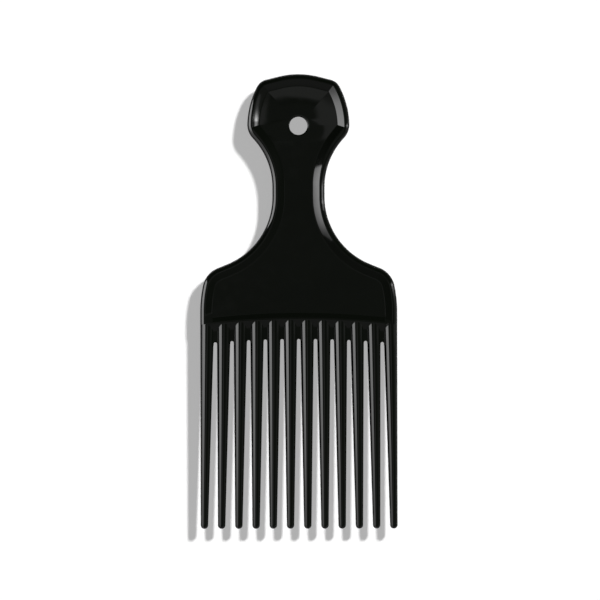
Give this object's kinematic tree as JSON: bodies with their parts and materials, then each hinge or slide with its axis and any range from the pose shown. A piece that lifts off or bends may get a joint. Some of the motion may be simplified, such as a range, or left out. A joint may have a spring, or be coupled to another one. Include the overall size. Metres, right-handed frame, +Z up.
{
  "type": "afro pick",
  "caption": "Flat hair pick with long tapered round teeth, a waisted handle with a raised bevelled rim, and a hanging hole in its head.",
  "frame": {"origin": "on the ground plane under the middle of the bounding box, with the pick lying on its back", "axes": "+X across the teeth, +Y along the pick from the tooth tips to the head, +Z up out of the front face"},
  "size_m": [0.0694, 0.1604, 0.005],
  "materials": {
    "black_plastic": "polished black moulding"
  },
  "bodies": {
    "root": {"head_panel": "black_plastic", "head_rim": "black_plastic", "neck_panel": "black_plastic", "neck_rim_left": "black_plastic", "neck_rim_right": "black_plastic", "shoulder_panel": "black_plastic", "shoulder_rim_left": "black_plastic", "shoulder_rim_right": "black_plastic", "tooth_bar": "black_plastic", "tooth_01": "black_plastic", "tooth_02": "black_plastic", "tooth_03": "black_plastic", "tooth_04": "black_plastic", "tooth_05": "black_plastic", "tooth_06": "black_plastic", "tooth_07": "black_plastic", "tooth_08": "black_plastic", "tooth_09": "black_plastic", "tooth_10": "black_plastic", "tooth_11": "black_plastic", "tooth_12": "black_plastic"}
  },
  "joints": []
}
